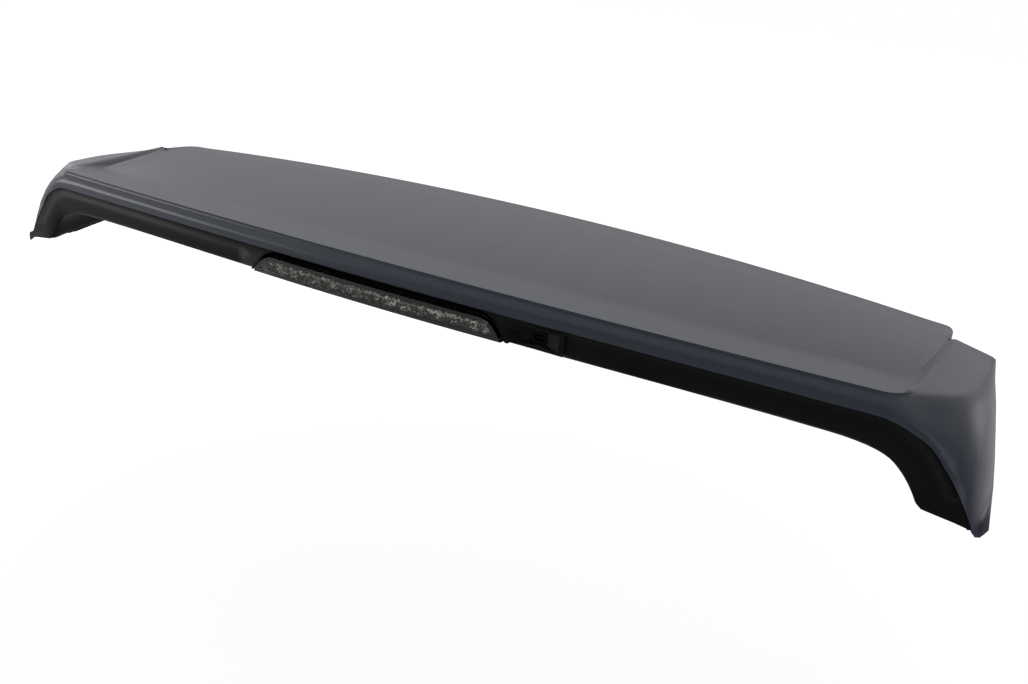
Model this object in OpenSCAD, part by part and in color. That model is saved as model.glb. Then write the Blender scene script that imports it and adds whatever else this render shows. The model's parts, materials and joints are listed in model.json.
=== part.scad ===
// Car rear spoiler: a painted upper shell with two legs, a black lower panel,
// a slim high stop lamp and a rear window washer jet.
// Lengths are in millimetres. X is to the right seen from behind, Y is forward, Z is up.
// The forms are measured from the leg tips (forward of them and above them), and
// placed() then moves everything so that the origin is the middle of the stud pattern.

/* [Plan] */
// Half of the width, from the middle to the leg tip
half_span = 645; // [600:1:700]
// Front edge, forward of the leg tips, at the middle
front_reach = 268; // [240:1:300]
// How far the front edge curves back towards its ends
front_bow = 60; // [40:1:80]
// Trailing edge, behind the leg tips, at the middle
tail_reach = 65; // [50:1:80]
// How far the trailing edge curves forward towards its ends
tail_bow = 54; // [35:1:70]
// Width of the raised lip band along the trailing edge
lip_band = 69; // [50:1:85]

/* [Heights] */
// Front edge above the leg tips, at the middle
front_rise = 142; // [130:1:160]
// Lip above the leg tips, at the middle
lip_rise = 128; // [120:1:140]
// Fold in front of the lip band above the leg tips, at the middle
fold_rise = 125; // [116:1:132]
// How far the lip drops towards its ends
lip_drop = 11; // [4:1:20]
// Crown of the main panel between the front edge and the fold
crown = 4; // [0:0.5:8]
// Height of the painted face under the lip
tail_face = 22; // [16:1:28]
// Height of the black face under the joint, at the middle
black_face = 28; // [22:1:34]

/* [Shells] */
// Wall of the painted shell
shell_wall = 3; // [2.4:0.1:3.6]
// Wall of the lower panel
panel_wall = 2.5; // [2:0.1:3]
// Depth of the turned-down front flange
front_flange = 14; // [10:1:18]
// Gap of the joint between the two shells
joint_gap = 1; // [0.6:0.1:1.6]
// Overlap of the lower panel behind the painted face
lap = 7; // [5:0.5:8]

/* [Stop lamp] */
// Half of the lamp's width at its lower edge
lamp_half = 168; // [120:1:175]
// Height of the lamp's face
lamp_h = 21; // [19:0.5:22]
// Gap between the lamp and its cut-out
lamp_gap = 3; // [1:0.1:4]
// How far the lens stands out of the black face
lamp_proud = 3; // [0:0.5:4]
// Rounding of the lamp's upper corners
lamp_round = 26; // [16:1:28]
// Wall of the lens
lens_wall = 2.2; // [1.8:0.1:2.6]
// Depth of the lamp behind its lens
lamp_depth = 21; // [19:0.5:24]
// Height of the bright strip behind the lens
strip_h = 11.6; // [9:0.2:12]
// From the lamp's lower corner to the end of the bright strip
strip_margin = 12; // [10:0.5:16]
// Facets of the reflector along the lamp
facets = 78; // [30:1:90]
// Rows of facets
facet_rows = 3; // [2:1:3]
// Number of light emitting diodes
led_count = 12; // [6:1:14]

/* [Washer jet] */
// Distance from the right end of the lamp to the middle of the jet
jet_gap = 36; // [32:1:62]
// Width of the jet's window
jet_w = 19; // [16:0.5:22]
// Height of the jet's window
jet_h = 13; // [11:0.5:15]
// Depth of the recess round the window
jet_recess = 8; // [5:0.5:9]

/* [Mounting] */
// Middle of the stud pattern, behind the front edge at the middle
stud_back = 158; // [150:1:168]
// Mounting plane above the leg tips
land_rise = 78; // [76:0.5:80]
// Spacing of the studs across the car
stud_span = 700; // [600:1:760]
// Spacing of the studs along the car
stud_pitch = 60; // [46:1:70]
// Diameter of the studs
stud_d = 6; // [5:0.5:8]
// Length of the studs below the mounting plane
stud_reach = 22; // [14:1:30]
// Diameter of the mounting bosses
boss_d = 34; // [30:1:40]
// Length of the leg clips below the leg floor
clip_reach = 9; // [7:0.5:14]

/* [Hidden] */

end_w = 205;               // part of each half that belongs to the end and its leg
bow_ref = half_span - 45;  // place at which the bows and drops are measured
mid_cols = 11;             // columns from the middle to the start of the end
end_cols = 27;             // columns round the end
end_x = half_span - end_w;
tip_wall = 0.4;            // wall left at the very tip, as a share
stud_fore = front_reach - stud_back;

// The end's points below are laid out for these values of the middle, and follow when it changes
laid_reach = 223;          // front edge near the end
laid_tail = 24.5;          // trailing edge near the end, behind the leg tips
laid_lip = 119.75;         // lip near the end
laid_front = 142;          // front edge at the middle
laid_band = 69;            // lip band
laid_fold = 125;           // fold
laid_face = 22;            // painted face
laid_black = 28;           // black face
edge_share = 0.75;         // share of a bow or drop that is reached near the end
reach_share = (front_reach - edge_share * front_bow) / laid_reach;
tail_shift = laid_tail - (tail_reach - edge_share * tail_bow);
lip_share = (lip_rise - edge_share * lip_drop) / laid_lip;
front_share = front_rise / laid_front;

// Curves

function mix(a, b, t) = a + (b - a) * t;
function bez(a, b, c, d, t) =
    pow(1 - t, 3) * a + 3 * t * pow(1 - t, 2) * b + 3 * t * t * (1 - t) * c + pow(t, 3) * d;
// Smooth curve through the inner points of a list, s from 0 to 1
function through(p, s) =
    let (n = len(p) - 3, k = min(floor(s * n), n - 1), t = s * n - k,
         a = p[k], b = p[k + 1], c = p[k + 2], d = p[k + 3])
    0.5 * (2 * b + (c - a) * t + (2 * a - 5 * b + 4 * c - d) * t * t + (3 * b - a - 3 * c + d) * pow(t, 3));
function q(x) = pow(x / bow_ref, 2);
function unit(v) = v / max(norm(v), 1e-9);
function clamp(x) = max(0, min(1, x));
// A point of the end: its distance inside the leg tip, forward and up
function at(inset, fore, up) =
    let (high = clamp(up / 118), back = clamp(1 - fore / 170))
    [half_span - inset, fore * reach_share + tail_shift * high * back,
     up * mix(lip_share, front_share, clamp(fore / 200))];
// The same with a share w of what the fold, the joint or the foot moved
function fold_at(w, inset, fore, up) =
    at(inset, fore, up) + w * [0, lip_band - laid_band, fold_rise - laid_fold];
function joint_at(w, inset, fore, up) = at(inset, fore, up) - w * [0, 0, tail_face - laid_face];
function foot_at(w, inset, fore, up) =
    at(inset, fore, up) - w * [0, 0, tail_face - laid_face + black_face - laid_black];
// A row of the end: two points from the middle rule, the end's own points, and one point past them
function end_row(rule, xs, own) =
    let (n = len(own))
    concat([for (x = xs) rule(x)], own, [2 * own[n - 1] - own[n - 2]]);

// Rules for the middle, as functions of the distance from the centre line

front = function (x) [x, front_reach - front_bow * q(x), front_rise - 13 * q(x) - 2 * q(x) * q(x)];
lip = function (x) [x, -tail_reach + tail_bow * q(x), lip_rise - lip_drop * q(x)];
fold = function (x) [x, lip_band - tail_reach + (tail_bow - 3) * q(x), fold_rise - (lip_drop + 4) * q(x)];
step = function (x) lip(x) + [0, 1.5, -3];
brow = function (x) lip(x) + [0, 0.5, -5];
roll = function (x) brow(x) + [0, -2.2, -2.4];
roll_out = function (x) roll(x) + [0, -4, -5];
joint = function (x) [x, -tail_reach - 3 + 59 * q(x) - 5 * q(x) * q(x),
    lip_rise - tail_face - 10 * q(x) - 4 * q(x) * q(x)];
joint_out = function (x) joint(x) + [0, -3, 8];
foot = function (x) [x, -tail_reach - 5 + 71 * q(x) - 9 * q(x) * q(x),
    lip_rise - tail_face - black_face - 10 * q(x) - 9 * q(x) * q(x)];

x_pre = end_x - 60;

// Rows of the painted shell's end, from the lip's straight part round to the front outer corner

front_end = end_row(front, [x_pre, end_x, end_x + 50, end_x + 85],
    [at(102, 220, 130.2), at(95.5, 214.5, 130.1), at(91.5, 205.5, 130), at(89.7, 196, 129.9),
     at(88.5, 187, 129.8), at(87.5, 178, 129.6), at(87, 170, 129.5)]);
fold_end = end_row(fold, [x_pre, end_x, end_x + 48, end_x + 84],
    [fold_at(0.9, 99, 44, 113.8), fold_at(0.7, 92, 58, 114.8), fold_at(0.5, 90, 80, 117),
     fold_at(0.3, 89, 102, 119.8), fold_at(0.2, 88, 125, 123), fold_at(0.1, 86.5, 147, 126.4),
     at(84.5, 168.6, 129.9)]);
lip_end = end_row(lip, [x_pre, end_x, end_x + 50, end_x + 88],
    [at(94.5, -17, 118.7), at(82, 5, 118.3), at(79.5, 28, 119.5), at(78.5, 62, 121.5),
     at(78.5, 98, 124.2), at(79, 134, 127.6), at(80.5, 167.5, 130.8)]);
step_end = end_row(step, [x_pre, end_x, end_x + 50, end_x + 88],
    [at(94.3, -16.3, 116.4), at(81.4, 5.4, 117.4), at(78.4, 28.5, 118.3), at(77.5, 62, 120.3),
     at(77.5, 98, 123), at(78, 134, 126.7), at(79.3, 167.8, 130.3)]);
brow_end = end_row(brow, [x_pre, end_x, end_x + 50, end_x + 88],
    [at(93.8, -16.3, 114.6), at(80.4, 4, 117), at(59, 26, 116.8), at(44.5, 49.5, 116.6),
     at(39.5, 93, 117.9), at(40.8, 137, 118.3), at(45, 180, 118.8)]);
roll_end = end_row(roll, [x_pre, end_x, end_x + 50, end_x + 88],
    [at(92.5, -18.8, 112), at(78, 0, 114.4), at(55.5, 20, 115), at(39.5, 43.5, 114.8),
     at(35.5, 92, 115.9), at(37, 138, 116.2), at(41.3, 183, 115.8)]);
roll_out_end = end_row(roll_out, [x_pre, end_x, end_x + 50, end_x + 88],
    [at(88.5, -23, 106), at(69, -7, 105), at(45, 9, 102), at(26, 37, 100),
     at(20, 80, 107), at(28, 146, 100), at(39, 206, 75)]);
joint_out_end = end_row(joint_out, [x_pre, end_x, end_x + 60, end_x + 109],
    [joint_at(0.8, 66, -20, 95), joint_at(0.6, 47, -14, 88), joint_at(0.4, 33, -9, 76),
     joint_at(0.3, 17, -2, 66), at(4, 12, 50), at(0, 55, 42), at(7, 115, 34)]);
joint_end = end_row(joint, [x_pre, end_x, end_x + 60, end_x + 109],
    [joint_at(0.8, 69, -15.5, 85), joint_at(0.6, 52, -10.5, 74.5), joint_at(0.4, 38, -7, 58),
     joint_at(0.2, 25, -4.5, 41), at(12, -2, 20), at(0.5, 0, 1), at(-7.5, 6, 9)]);

edge_round = 4;            // rounding of the front edge
// Outer points of one column of the painted shell, from the front flange to the joint
function shell_column(fr, fo, li, st, br, ro, rp, jo, jn) = concat(
    [fr + [0, -1, -front_flange], fr + [0, 0, -edge_round],
     fr + 0.3 * [0, -edge_round, -edge_round], fr + [0, -edge_round, 0]],
    [for (t = [0.2, 0.4, 0.6, 0.8, 0.94]) mix(fr + [0, -edge_round, 0], fo, t)
        + [0, 0, crown * 4 * t * (1 - t) * panel_share(fr, fo)]],
    [fo, mix(fo, li, 0.12) + [0, 0, -0.2], mix(fo, li, 0.6), li, st, br],
    [for (t = [0, 0.16, 0.32, 0.48, 0.64, 0.8, 0.91, 1]) bez(ro, rp, jo, jn, t)]);
function panel_share(fr, fo) = min(1, norm(fr - fo) / 200);

mid_shell = [for (i = [0:mid_cols - 1]) let (x = end_x * i / mid_cols)
    shell_column(front(x), fold(x), lip(x), step(x), brow(x), roll(x), roll_out(x), joint_out(x),
        joint(x))];
end_shell = [for (i = [0:end_cols]) let (s = i / end_cols)
    shell_column(through(front_end, s), through(fold_end, s), through(lip_end, s), through(step_end, s),
        through(brow_end, s), through(roll_end, s), through(roll_out_end, s), through(joint_out_end, s),
        through(joint_end, s))];
right_shell = concat(mid_shell, end_shell);

// Both halves: the right one mirrored, then itself
function flip(p) = [-p[0], p[1], p[2]];
function both(half) = concat(
    [for (i = [len(half) - 1:-1:1]) [for (p = half[i]) flip(p)]], half);

// Outward direction of a grid at a point
function grid_normal(g, i, j) =
    let (n = len(g) - 1, m = len(g[0]) - 1, p = g[i][j],
         du = unit(g[min(i + 1, n)][j] - p) + unit(p - g[max(i - 1, 0)][j]),
         dv = unit(g[i][min(j + 1, m)] - p) + unit(p - g[i][max(j - 1, 0)]))
    unit(cross(dv, du));

// A closed wall between a grid and the same grid moved inwards, thinner in the last columns of the tips
module wall_solid(g, wall, thin) {
    n = len(g);
    m = len(g[0]);
    inner = [for (i = [0:n - 1]) [for (j = [0:m - 1]) g[i][j]
        - wall * mix(tip_wall, 1, min(1, min(i, n - 1 - i) / thin)) * grid_normal(g, i, j)]];
    points = concat([for (c = g) for (p = c) p], [for (c = inner) for (p = c) p]);
    o = n * m;
    faces = concat(
        [for (i = [0:n - 2]) for (j = [0:m - 2]) let (a = i * m + j, b = a + m)
            each [[a, b, b + 1], [a, b + 1, a + 1],
                  [o + a, o + b + 1, o + b], [o + a, o + a + 1, o + b + 1]]],
        [for (i = [0:n - 2]) let (a = i * m, b = a + m, c = a + m - 1, d = c + m)
            each [[a, o + b, b], [a, o + a, o + b], [c, d, o + d], [c, o + d, o + c]]],
        [for (j = [0:m - 2]) let (a = j, b = (n - 1) * m + j)
            each [[a, a + 1, o + a + 1], [a, o + a + 1, o + a],
                  [b, o + b + 1, b + 1], [b, o + b, o + b + 1]]]);
    polyhedron(points, faces, convexity = 10);
}

module placed() translate([0, -stud_fore, -land_rise]) children();

// Height of the top of the painted shell at a place on its main panel
function top_z(x, y) =
    let (a = front(x) + [0, -edge_round, 0], b = fold(x), t = (a[1] - y) / (a[1] - b[1]))
    mix(a[2], b[2], t) + crown * 4 * t * (1 - t);

// Lower panel

seam = shell_wall + 0.8;   // from the painted face to the lap behind it
tip_share = 0.84;          // the panel's part of the joint line, up to the leg tip
foot_end = end_row(foot, [x_pre, end_x, end_x + 38, end_x + 72],
    [foot_at(0.8, 107, -17, 61), foot_at(0.6, 89, -13, 54), foot_at(0.4, 77, -10.5, 44),
     foot_at(0.2, 68, -9, 33.5), at(61.5, -8, 23.8), at(57, -7.6, 17.6), at(51.5, -7.3, 14)]);
hem = function (x) front(x) + [0, -9, -15];
hem_out = function (x) hem(x) + [0, -60, -32];
foot_out = function (x) foot(x) + [0, 46, -6];
hem_end = end_row(hem, [x_pre, end_x, end_x + 50, end_x + 80],
    [at(110, 206, 111), at(105, 199, 106), at(101, 188, 96), at(95, 165, 76),
     at(84, 122, 52), at(68, 62, 31), at(55, 3, 16.5)]);
hem_out_end = end_row(hem_out, [x_pre, end_x, end_x + 50, end_x + 80],
    [at(112, 145, 86), at(106, 135, 84), at(98, 122, 76), at(90, 105, 58),
     at(78, 75, 40), at(64, 38, 26), at(54.3, 0, 15.9)]);
foot_out_end = end_row(foot_out, [x_pre, end_x, end_x + 38, end_x + 72],
    [foot_at(0.8, 104, 25, 60), foot_at(0.6, 90, 26, 58), foot_at(0.4, 79, 26, 50),
     foot_at(0.2, 70, 24, 38), at(62.5, 15, 25.5), at(58, 4, 18.2), at(52.2, -4, 14.6)]);

// Outer points of one column of the lower panel. p and n are the joint point and the painted
// shell's direction there, up points back up the painted face.
function panel_column(p, n, up, ft, fo, ho, hm, lap_here) =
    let (low = p - up * joint_gap, face = low - n * 0.6, soft = bez(ft, fo, ho, hm, 0.07),
         edge = mix(face, ft, 1 - 5 / max(norm(face - ft), 10)))
    concat([p - n * seam + up * lap_here, low - n * seam, face, mix(face, edge, 0.5), edge,
            0.25 * edge + 0.5 * ft + 0.25 * soft, soft],
           [for (t = [0.18, 0.32, 0.46, 0.6, 0.74, 0.87, 1]) bez(ft, fo, ho, hm, t)]);

panel_cols = 22;           // columns of the lower panel round the end
lap_fade = 0.85;           // share of the lap that is gone at the leg tip
last = len(right_shell[0]) - 1;
mid_panel = [for (i = [0:mid_cols - 1]) let (x = end_x * i / mid_cols, c = right_shell[i])
    panel_column(joint(x), grid_normal(right_shell, i, last), unit(c[last - 1] - c[last]),
        foot(x), foot_out(x), hem_out(x), hem(x), lap)];
end_panel = [for (i = [0:panel_cols]) let (s = i / panel_cols, k = s * tip_share * end_cols + mid_cols,
        a = floor(k), f = k - a, c = mix(right_shell[a], right_shell[a + 1], f),
        n = unit(mix(grid_normal(right_shell, a, last), grid_normal(right_shell, a + 1, last), f)))
    panel_column(c[last], n, unit(c[last - 1] - c[last]), through(foot_end, s),
        through(foot_out_end, s), through(hem_out_end, s), through(hem_end, s),
        lap * (1 - lap_fade * s))];
right_panel = concat(mid_panel, end_panel);

// Floor of each leg, between the panel's lower edge and the painted side, laid on the car's body
floor_in = concat([at(82, 172, 122)], [for (s = [0:0.1:1]) floor_near(s)]);
function floor_near(s) = through(hem_end, mix(0.55, 0.97, s)) + [-0.7, 0, -0.8];
floor_out = concat([at(48, 175, 113.5)], [for (s = [0:0.1:1]) leg_edge(edge_part(s))]);
function edge_part(s) = mix(0.22, 0.9, s);
function leg_edge(t) =
    let (c = right_shell[len(right_shell) - 1], n = len(c), k = mix(n - 8, n - 1, t),
         a = min(floor(k), n - 2))
    mix(c[a], c[a + 1], k - a) + [-6.5 - 3 * t, -5, 1.5];
// The floor's wall, which turns up at its front end to close the leg
function floor_wall(i) = panel_wall * (i == 0 ? [0, -0.86, -0.5] : i == 1 ? [0, -1, 0.35] : [0, -0.48, 1]);
module leg_floor() {
    n = len(floor_in);
    points = [for (i = [0:n - 1]) let (up = floor_wall(i))
        each [floor_in[i], floor_in[i] + up, floor_out[i] + up, floor_out[i]]];
    tube_solid(points, n, 4);
}
// Closed solid from rings of m points each
module tube_solid(points, n, m) {
    faces = concat(
        [for (i = [0:n - 2]) for (j = [0:m - 1]) let (a = i * m + j, b = i * m + (j + 1) % m)
            each [[a, b, b + m], [a, b + m, a + m]]],
        [[for (j = [m - 1:-1:0]) j], [for (j = [0:m - 1]) (n - 1) * m + j]]);
    polyhedron(points, faces, convexity = 4);
}

// Stop lamp

clear = 0.1;                                              // between parts that rest on each other
slip = 0.2;                                               // between parts that slide together
face_y = -tail_reach - 4;                                 // black face at the middle
lamp_low = lip_rise - tail_face - black_face - 0.6;       // lower edge of the lamp
lamp_top = lamp_low + lamp_h;
cut_top = joint(0)[2] - joint_gap - slip;                 // top of the lamp's cut-out
lamp_back = face_y - lamp_proud;                          // outer face of the lens at the middle
lamp_bow = 3300;                                          // radius of the lens along the trailing edge
slant = 0.75;                                             // how far the ends lean in for each mm up
lean = sqrt(1 + slant * slant);                           // level width of a wall of 1 in the ends
house_back = lamp_back + lamp_depth;                      // rear wall of the lamp, towards the front
bay_back = house_back + 2;                                // bay wall behind the lamp and its gasket
bay_low = lamp_low + slip;                                // lower edge of the bay, within the panel's wall
lens_rim = 9;                                             // depth of the lens's side wall
mirror_at = lens_wall + 4;                                // from the lens's face to the reflector
mirror_wall = 1.5;
frame_at = mirror_at + mirror_wall + slip;                // from the lens's face to the dark frame
frame_wall = 1.5;
house_wall = 2;
strip_half = lamp_half - strip_margin;
strip_low = lamp_low + lens_wall + 0.4;
strip_round = 12;
board_wall = 1.6;
board_y = house_back - 8;
board_low = lamp_low + 4.9;
board_h = lamp_h - 10.4;
board_half = lamp_half - 26;
lamp_boss = board_h - 2.2;                                // screw bosses of the housing
lamp_thread = 2.6;
lamp_head = 7.5;
led_pitch = (2 * lamp_half - 50) / led_count;
led_z = strip_low + strip_h / 2;
led_side = 3.4;
led_dome = 2.2;
screw_x = lamp_half - 50;
screw_z = board_low + board_h / 2;
socket_x = 60;                                            // middle of the connector socket
socket_w = 20;
socket_h = 11;
socket_low = lamp_low + 5;
socket_room = 2;                                          // room round the socket in the bay's wall

// Corner of an outline rounded with radius r
function fillet(a, b, c, r, n) =
    let (u = unit(a - b), v = unit(c - b), h = acos(u * v) / 2, m = b + unit(u + v) * r / sin(h),
         p = b + u * r / tan(h), w = 180 - 2 * h, turn = u[0] * v[1] - u[1] * v[0] > 0 ? -1 : 1)
    [for (i = [0:n]) let (t = turn * w * i / n, d = p - m)
        m + [d[0] * cos(t) - d[1] * sin(t), d[0] * sin(t) + d[1] * cos(t)]];
// Lamp outline seen from behind: half width at height low, straight lower edge, rounded upper corners
function lamp_outline(half, low, high, r) =
    let (a = [half, low], b = [half - slant * (high - low), high], c = [-b[0], high], d = [-half, low])
    concat([a], fillet(a, b, c, r, 10), fillet(b, c, d, r, 10), [d]);
module behind(y0, y1) translate([0, y1, 0]) rotate([90, 0, 0]) linear_extrude(y1 - y0) children();
module bowed(y0, y1) {
    difference() {
        translate([0, y0 + lamp_bow, 0]) cylinder(r = lamp_bow, h = 200, $fn = 1440);
        translate([0, y0 + lamp_bow, -1]) cylinder(r = lamp_bow - (y1 - y0), h = 202, $fn = 1440);
    }
}
// The lamp's outline moved inwards all round
module lamp_shape(inset = 0)
    polygon(lamp_outline(lamp_half - inset * (slant + lean), lamp_low + inset, lamp_top - inset,
        max(lamp_round - inset, 4)));
// The cut-out's outline moved outwards, open downwards
module cut_shape(grow = 0) {
    below = 10;
    polygon(lamp_outline(lamp_half + (lamp_gap + grow) * lean + slant * below, lamp_low - below,
        cut_top + grow, lamp_round + 2 + grow));
}
module strip_shape(inset = 0)
    polygon(lamp_outline(strip_half - inset * (slant + lean), strip_low + inset,
        strip_low + strip_h - inset, strip_round - inset));
// A cylinder that points forward from a place in the lamp
module forward(x, y, z, d, h, n = 32)
    translate([x, y, z]) rotate([-90, 0, 0]) cylinder(d = d, h = h, $fn = n);

module lamp_bay() {
    behind(face_y + 4, face_y + 9) bay_shape(cut_top - slip);
    intersection() {
        bowed(face_y + 6.5, face_y + 100);
        behind(face_y, bay_back + panel_wall) bay_shape(cut_top + panel_wall);
    }
}
module bay_shape(high) {
    room = lamp_half + 30;
    intersection() {
        cut_shape(panel_wall);
        translate([-room, bay_low]) square([2 * room, high - bay_low]);
    }
}
module lamp_bay_space() {
    behind(face_y - 20, bay_back) cut_shape();
    for (x = [-screw_x, screw_x]) forward(x, bay_back - 1, screw_z, lamp_thread + 2, 10, 24);
    translate([socket_x - socket_w / 2 - socket_room, bay_back - 1, socket_low - socket_room])
        cube([socket_w + 2 * socket_room, 10, socket_h + 2 * socket_room]);
}

// Washer jet

jet_x = lamp_half + jet_gap;
jet_z = joint(jet_x)[2] - 15;         // middle of the jet's window
jet_face = joint(jet_x)[1] - 0.6;     // black face round the jet
jet_back = jet_face + jet_recess;     // floor of the recess
recess_x = jet_x + 3.6;               // middle of the recess
recess_w = jet_w + 36;
recess_up = 9.5;
recess_down = 8.8;
sleeve = 6;                           // depth of the sleeve that holds the jet
module jet_funnel(grow, y0, y1) {
    hull() {
        translate([recess_x - recess_w / 2 - grow, y0, jet_z - recess_down - grow])
            cube([recess_w + 2 * grow, 0.1, recess_up + recess_down + 2 * grow]);
        translate([jet_x - jet_w / 2 - grow, y1, jet_z - jet_h / 2 - grow])
            cube([jet_w + 2 * grow, 0.1, jet_h + 2 * grow]);
    }
}
module jet_window(grow, y0, y1)
    translate([jet_x - jet_w / 2 - grow, y0, jet_z - jet_h / 2 - grow])
        cube([jet_w + 2 * grow, y1 - y0, jet_h + 2 * grow]);

// Bosses and fasteners between the shells

boss_h = 20;
recess_d = 22;                        // recess for the foam ring under each boss
recess_h = 3;
stud_head = 18;
stud_collar = stud_d + 1;              // thicker shank within the boss
stud_places = [for (x = [-1, 1]) for (y = [-1, 1]) [x * stud_span / 2, stud_fore + y * stud_pitch / 2]];
ties = [[130, 85], [400, 68]];        // each pair of screws: from the middle, and back from the front edge
tie_z = land_rise + 29;               // seam between each screw boss and its pad
tie_boss = 11;
tie_pad = 16;
pad_h = 8;
tie_thread = 3.2;
tie_long = 14;
tie_head = 9;
tie_head_h = 3;
tie_places = [for (t = ties) for (m = [-1, 1]) [m * t[0], front(t[0])[1] - t[1]]];
clip_s = [0.35, 0.75];                // places of the clips along the leg floor
clip_d = 8;
clip_head = 14;
clip_top = 4.2;                       // underside of the clip's head above the floor's lower face
function floor_mid(s) = mix(floor_near(s), leg_edge(edge_part(s)), 0.5);
function floor_tilt(s) = let (d = floor_mid(s + 0.05) - floor_mid(s - 0.05)) atan2(-d[2], -d[1]);
module on_floor(s) translate(floor_mid(s)) rotate([floor_tilt(s), 0, 0]) children();
module at_each(places, z) for (p = places) translate([p[0], p[1], z]) children();
module both_sides() {
    children();
    mirror([1, 0, 0]) children();
}
// Cross recess in a screw head
module cross(d, w, h) for (a = [0, 90]) rotate(a) translate([-d / 2, -w / 2, 0]) cube([d, w, h]);

module outer_shell() {
    color([0.20, 0.22, 0.27]) placed() {
        wall_solid(both(right_shell), shell_wall, 9);
        for (p = tie_places) difference() {
            translate([p[0], p[1], tie_z + clear])
                cylinder(d = tie_boss, h = top_z(abs(p[0]), p[1]) - shell_wall / 2 - tie_z, $fn = 32);
            translate([p[0], p[1], tie_z - 1]) cylinder(d = tie_thread + slip, h = tie_long + 2, $fn = 24);
        }
    }
}

module under_panel() {
    color([0.07, 0.07, 0.07]) placed() difference() {
        union() {
            wall_solid(both(right_panel), panel_wall, 7);
            both_sides() leg_floor();
            lamp_bay();
            intersection() {
                jet_funnel(panel_wall, jet_face + 1, jet_back);
                translate([recess_x - recess_w, jet_face + 1, 0]) cube([2 * recess_w, 40, 200]);
            }
            jet_window(panel_wall, jet_back, jet_back + sleeve);
            at_each(stud_places, land_rise) cylinder(d = boss_d, h = boss_h, $fn = 48);
            at_each(tie_places, tie_z - pad_h) cylinder(d = tie_pad, h = pad_h, $fn = 32);
        }
        lamp_bay_space();
        jet_funnel(0, jet_face - 0.6, jet_back);
        jet_window(0, jet_back - 1, jet_back + 20);
        at_each(stud_places, land_rise - 1) cylinder(d = stud_collar + 2 * slip, h = boss_h + 2, $fn = 32);
        at_each(stud_places, land_rise - 1) cylinder(d = recess_d, h = recess_h + 1, $fn = 48);
        at_each(tie_places, tie_z - 20) cylinder(d = tie_thread + 1.2, h = 30, $fn = 24);
        at_each(tie_places, tie_z - 20) cylinder(d = tie_head + 2, h = 20 - tie_head_h, $fn = 32);
        both_sides() for (s = clip_s) on_floor(s) translate([0, 0, -10])
            cylinder(d = clip_d + 2 * slip, h = 25, $fn = 32);
    }
}

module stop_lamp_lens() {
    color([0.25, 0.25, 0.24]) placed() difference() {
        intersection() {
            bowed(lamp_back, lamp_back + lens_rim);
            behind(lamp_back - 1, lamp_back + 20) lamp_shape();
        }
        intersection() {
            bowed(lamp_back + lens_wall, lamp_back + lens_rim + 5);
            behind(lamp_back - 1, lamp_back + 30) lamp_shape(lens_wall);
        }
    }
}

// Front face of the reflector at a distance from the centre line
mirror_y = function (x) lamp_back + mirror_at + x * x / (2 * lamp_bow);
facet_w = 2 * strip_half / facets;
facet_h = strip_h / facet_rows;
facet_rise = 1.6;
plate_half = strip_half + 1;
plate_xs = [for (i = [-40:40]) plate_half * i / 40];
// A row of upright ridges, every second row moved by half a ridge
module facet_row(k) {
    n = ceil(facets / 2) + 1;
    xs = [for (i = [-n:n]) facet_w * (i + (k % 2) / 2)];
    ridges = [for (x = xs) each [[x - facet_w / 2, mirror_y(x - facet_w / 2) + 0.3],
        [x, mirror_y(x) - facet_rise]]];
    ends = xs[2 * n] + facet_w / 2;
    backs = [for (i = [2 * n:-1:0]) let (x = xs[i] + facet_w / 2) [x, mirror_y(x) + (x == ends ? 0.3 : 1)]];
    translate([0, 0, strip_low + facet_h * k]) linear_extrude(facet_h - 0.3) polygon(concat(ridges, backs));
}
module stop_lamp_reflector() {
    color([0.75, 0.75, 0.68]) placed() difference() {
        intersection() {
            union() {
                translate([0, 0, lamp_low]) linear_extrude(lamp_h) polygon(concat(
                    [for (x = plate_xs) [x, mirror_y(x)]],
                    [for (i = [80:-1:0]) [plate_xs[i], mirror_y(plate_xs[i]) + mirror_wall]]));
                for (k = [0:facet_rows - 1]) facet_row(k);
            }
            behind(lamp_back, lamp_back + 40) strip_shape();
        }
        for (i = [0:led_count - 1])
            forward(led_pitch * (i - (led_count - 1) / 2), lamp_back, led_z, led_dome + slip, 30, 24);
    }
}

module stop_lamp_board() {
    color([0.10, 0.30, 0.15]) placed() difference() {
        translate([-board_half, board_y, board_low]) cube([2 * board_half, board_wall, board_h]);
        for (x = [-screw_x, screw_x]) forward(x, board_y - 1, screw_z, lamp_boss + 3 * slip, 4);
    }
}

module stop_lamp_leds() {
    color([0.90, 0.88, 0.80]) placed()
        for (i = [0:led_count - 1]) translate([led_pitch * (i - (led_count - 1) / 2), board_y, led_z]) {
            translate([-led_side / 2, -0.9, -led_side / 2]) cube([led_side, 0.9, led_side]);
            translate([0, -0.8, 0]) rotate([90, 0, 0]) cylinder(d = led_dome, h = 1.2, $fn = 24);
        }
}

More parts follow.
